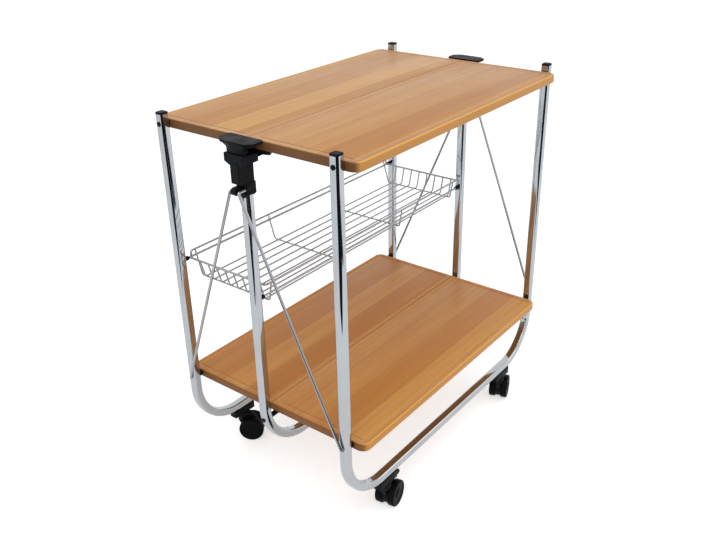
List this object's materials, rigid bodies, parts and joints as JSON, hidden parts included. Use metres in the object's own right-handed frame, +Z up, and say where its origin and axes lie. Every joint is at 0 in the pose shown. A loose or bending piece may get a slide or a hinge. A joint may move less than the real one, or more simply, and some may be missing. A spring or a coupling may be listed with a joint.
{
  "type": "folding serving trolley",
  "caption": "Folding serving trolley with chrome tube frames, wooden upper and lower shelves, a wire basket and swivel casters.",
  "frame": {"origin": "centre of the overall box on the floor plane", "axes": "+X along the length towards the far end, +Y towards the basket side, +Z up"},
  "size_m": [0.696, 0.415, 0.7115],
  "materials": {
    "chrome_tube": "polished",
    "chrome_wire": "polished",
    "black_plastic": "fine grained",
    "wheel_plastic": "satin",
    "bright_steel": "zinc plated",
    "light_wood": "satin lacquer",
    "brown_wood": "satin lacquer"
  },
  "bodies": {
    "middle_frame": {"middle_frame_tube": "chrome_tube", "latch_housing_near": "black_plastic", "latch_housing_far": "black_plastic", "centre_pins": "black_plastic"},
    "rear_frame": {"rear_frame_tube": "chrome_tube", "rear_leg_caps": "black_plastic", "rear_caster_saddles": "black_plastic", "rear_caster_stems": "bright_steel"},
    "front_frame": {"front_frame_tube": "chrome_tube", "front_leg_caps": "black_plastic", "front_caster_saddles": "black_plastic", "front_caster_stems": "bright_steel"},
    "upper_rear_shelf": {"upper_rear_board": "light_wood", "upper_rear_brackets": "black_plastic", "upper_rear_screws": "bright_steel", "upper_rear_pins": "black_plastic"},
    "upper_front_shelf": {"upper_front_board": "light_wood", "upper_front_brackets": "black_plastic", "upper_front_screws": "bright_steel", "upper_front_pins": "black_plastic"},
    "lower_rear_shelf": {"lower_rear_board": "brown_wood", "lower_rear_brackets": "black_plastic", "lower_rear_screws": "bright_steel", "lower_rear_pins": "black_plastic"},
    "lower_front_shelf": {"lower_front_board": "brown_wood", "lower_front_brackets": "black_plastic", "lower_front_screws": "bright_steel", "lower_front_pins": "black_plastic"},
    "basket": {"basket_wires": "chrome_wire", "basket_bushes": "black_plastic"},
    "collar_near": {"collar_near": "black_plastic"},
    "collar_far": {"collar_far": "black_plastic"},
    "brace_rear_near": {"brace_rear_near": "chrome_tube"},
    "brace_rear_far": {"brace_rear_far": "chrome_tube"},
    "brace_front_near": {"brace_front_near": "chrome_tube"},
    "brace_front_far": {"brace_front_far": "chrome_tube"},
    "grip_near": {"grip_near": "black_plastic"},
    "grip_far": {"grip_far": "black_plastic"},
    "caster_front_near": {"hood_front_near": "black_plastic", "axle_front_near": "bright_steel"},
    "caster_front_far": {"hood_front_far": "black_plastic", "axle_front_far": "bright_steel"},
    "caster_rear_near": {"hood_rear_near": "black_plastic", "axle_rear_near": "bright_steel"},
    "caster_rear_far": {"hood_rear_far": "black_plastic", "axle_rear_far": "bright_steel"},
    "wheel_front_near_a": {"wheel_front_near_a": "wheel_plastic"},
    "wheel_front_near_b": {"wheel_front_near_b": "wheel_plastic"},
    "wheel_front_far_a": {"wheel_front_far_a": "wheel_plastic"},
    "wheel_front_far_b": {"wheel_front_far_b": "wheel_plastic"},
    "wheel_rear_near_a": {"wheel_rear_near_a": "wheel_plastic"},
    "wheel_rear_near_b": {"wheel_rear_near_b": "wheel_plastic"},
    "wheel_rear_far_a": {"wheel_rear_far_a": "wheel_plastic"},
    "wheel_rear_far_b": {"wheel_rear_far_b": "wheel_plastic"},
    "brake_front_near": {"brake_front_near": "black_plastic"},
    "brake_rear_far": {"brake_rear_far": "black_plastic"}
  },
  "joints": [
    {"name": "fold", "type": "hinge", "parent": "middle_frame", "child": "upper_rear_shelf", "pos_m": [0, 0, 0.672], "axis": [-1, 0, 0], "range_deg": [0, 85]},
    {"name": "lower_rear_hinge", "type": "hinge", "parent": "middle_frame", "child": "lower_rear_shelf", "pos_m": [0, 0, 0.186], "axis": [-1, 0, 0], "range_deg": [0, 85]},
    {"name": "upper_front_hinge", "type": "hinge", "parent": "middle_frame", "child": "upper_front_shelf", "pos_m": [0, 0, 0.672], "axis": [1, 0, 0], "range_deg": [0, 85]},
    {"name": "lower_front_hinge", "type": "hinge", "parent": "middle_frame", "child": "lower_front_shelf", "pos_m": [0, 0, 0.186], "axis": [1, 0, 0], "range_deg": [0, 85]},
    {"name": "basket_hinge", "type": "hinge", "parent": "middle_frame", "child": "basket", "pos_m": [0, 0, 0.424], "axis": [-1, 0, 0], "range_deg": [0, 85]},
    {"name": "rear_frame_hinge", "type": "hinge", "parent": "upper_rear_shelf", "child": "rear_frame", "pos_m": [0, 0.18, 0.692], "axis": [-1, 0, 0], "range_deg": [-85, 0]},
    {"name": "front_frame_hinge", "type": "hinge", "parent": "upper_front_shelf", "child": "front_frame", "pos_m": [0, -0.18, 0.692], "axis": [1, 0, 0], "range_deg": [-85, 0]},
    {"name": "collar_slide_near", "type": "slide", "parent": "middle_frame", "child": "collar_near", "axis": [0, 0, -1], "range_m": [0, 0.16446]},
    {"name": "collar_slide_far", "type": "slide", "parent": "middle_frame", "child": "collar_far", "axis": [0, 0, -1], "range_m": [0, 0.16446]},
    {"name": "brace_hinge_rear_near", "type": "hinge", "parent": "rear_frame", "child": "brace_rear_near", "pos_m": [-0.326, 0.18, 0.206], "axis": [-1, 0, 0], "range_deg": [0, 18.95]},
    {"name": "brace_hinge_rear_far", "type": "hinge", "parent": "rear_frame", "child": "brace_rear_far", "pos_m": [0.326, 0.18, 0.206], "axis": [-1, 0, 0], "range_deg": [0, 18.95]},
    {"name": "brace_hinge_front_near", "type": "hinge", "parent": "front_frame", "child": "brace_front_near", "pos_m": [-0.326, -0.18, 0.206], "axis": [1, 0, 0], "range_deg": [0, 18.95]},
    {"name": "brace_hinge_front_far", "type": "hinge", "parent": "front_frame", "child": "brace_front_far", "pos_m": [0.326, -0.18, 0.206], "axis": [1, 0, 0], "range_deg": [0, 18.95]},
    {"name": "grip_lift_near", "type": "slide", "parent": "middle_frame", "child": "grip_near", "axis": [0, 0, 1], "range_m": [0, 0.008], "stiffness_N_per_m": 400},
    {"name": "grip_lift_far", "type": "slide", "parent": "middle_frame", "child": "grip_far", "axis": [0, 0, 1], "range_m": [0, 0.008], "stiffness_N_per_m": 400},
    {"name": "swivel_front_near", "type": "hinge", "parent": "front_frame", "child": "caster_front_near", "pos_m": [-0.209, -0.18, 0.059], "axis": [0, 0, 1], "continuous": true},
    {"name": "roll_front_near_a", "type": "hinge", "parent": "caster_front_near", "child": "wheel_front_near_a", "pos_m": [-0.19127, -0.17687, 0.025], "axis": [-0.1736, 0.9848, 0], "continuous": true},
    {"name": "roll_front_near_b", "type": "hinge", "parent": "caster_front_near", "child": "wheel_front_near_b", "pos_m": [-0.19127, -0.17687, 0.025], "axis": [-0.1736, 0.9848, 0], "continuous": true},
    {"name": "swivel_front_far", "type": "hinge", "parent": "front_frame", "child": "caster_front_far", "pos_m": [0.209, -0.18, 0.059], "axis": [0, 0, 1], "continuous": true},
    {"name": "roll_front_far_a", "type": "hinge", "parent": "caster_front_far", "child": "wheel_front_far_a", "pos_m": [0.22602, -0.17414, 0.025], "axis": [-0.3256, 0.9455, 0], "continuous": true},
    {"name": "roll_front_far_b", "type": "hinge", "parent": "caster_front_far", "child": "wheel_front_far_b", "pos_m": [0.22602, -0.17414, 0.025], "axis": [-0.3256, 0.9455, 0], "continuous": true},
    {"name": "swivel_rear_near", "type": "hinge", "parent": "rear_frame", "child": "caster_rear_near", "pos_m": [-0.209, 0.18, 0.059], "axis": [0, 0, 1], "continuous": true},
    {"name": "roll_rear_near_a", "type": "hinge", "parent": "caster_rear_near", "child": "wheel_rear_near_a", "pos_m": [-0.19868, 0.16526, 0.025], "axis": [0.8192, 0.5736, 0], "continuous": true},
    {"name": "roll_rear_near_b", "type": "hinge", "parent": "caster_rear_near", "child": "wheel_rear_near_b", "pos_m": [-0.19868, 0.16526, 0.025], "axis": [0.8192, 0.5736, 0], "continuous": true},
    {"name": "swivel_rear_far", "type": "hinge", "parent": "rear_frame", "child": "caster_rear_far", "pos_m": [0.209, 0.18, 0.059], "axis": [0, 0, 1], "continuous": true},
    {"name": "roll_rear_far_a", "type": "hinge", "parent": "caster_rear_far", "child": "wheel_rear_far_a", "pos_m": [0.22661, 0.18374, 0.025], "axis": [-0.2079, 0.9781, 0], "continuous": true},
    {"name": "roll_rear_far_b", "type": "hinge", "parent": "caster_rear_far", "child": "wheel_rear_far_b", "pos_m": [0.22661, 0.18374, 0.025], "axis": [-0.2079, 0.9781, 0], "continuous": true},
    {"name": "brake_press_front_near", "type": "hinge", "parent": "caster_front_near", "child": "brake_front_near", "pos_m": [-0.18438, -0.17566, 0.0546], "axis": [-0.1736, 0.9848, 0], "range_deg": [0, 12]},
    {"name": "brake_press_rear_far", "type": "hinge", "parent": "caster_rear_far", "child": "brake_rear_far", "pos_m": [0.23345, 0.1852, 0.0546], "axis": [-0.2079, 0.9781, 0], "range_deg": [0, 12]}
  ],
  "couplings": [
    {"joint": "lower_rear_hinge", "follows": "fold", "ratio": 1},
    {"joint": "upper_front_hinge", "follows": "fold", "ratio": 1},
    {"joint": "lower_front_hinge", "follows": "fold", "ratio": 1},
    {"joint": "basket_hinge", "follows": "fold", "ratio": 1},
    {"joint": "rear_frame_hinge", "follows": "fold", "ratio": -1},
    {"joint": "front_frame_hinge", "follows": "fold", "ratio": -1},
    {"joint": "collar_slide_near", "follows": "fold", "m_per_rad": 0.11086},
    {"joint": "collar_slide_far", "follows": "fold", "m_per_rad": 0.11086},
    {"joint": "brace_hinge_rear_near", "follows": "fold", "ratio": 0.22295},
    {"joint": "brace_hinge_rear_far", "follows": "fold", "ratio": 0.22295},
    {"joint": "brace_hinge_front_near", "follows": "fold", "ratio": 0.22295},
    {"joint": "brace_hinge_front_far", "follows": "fold", "ratio": 0.22295}
  ]
}
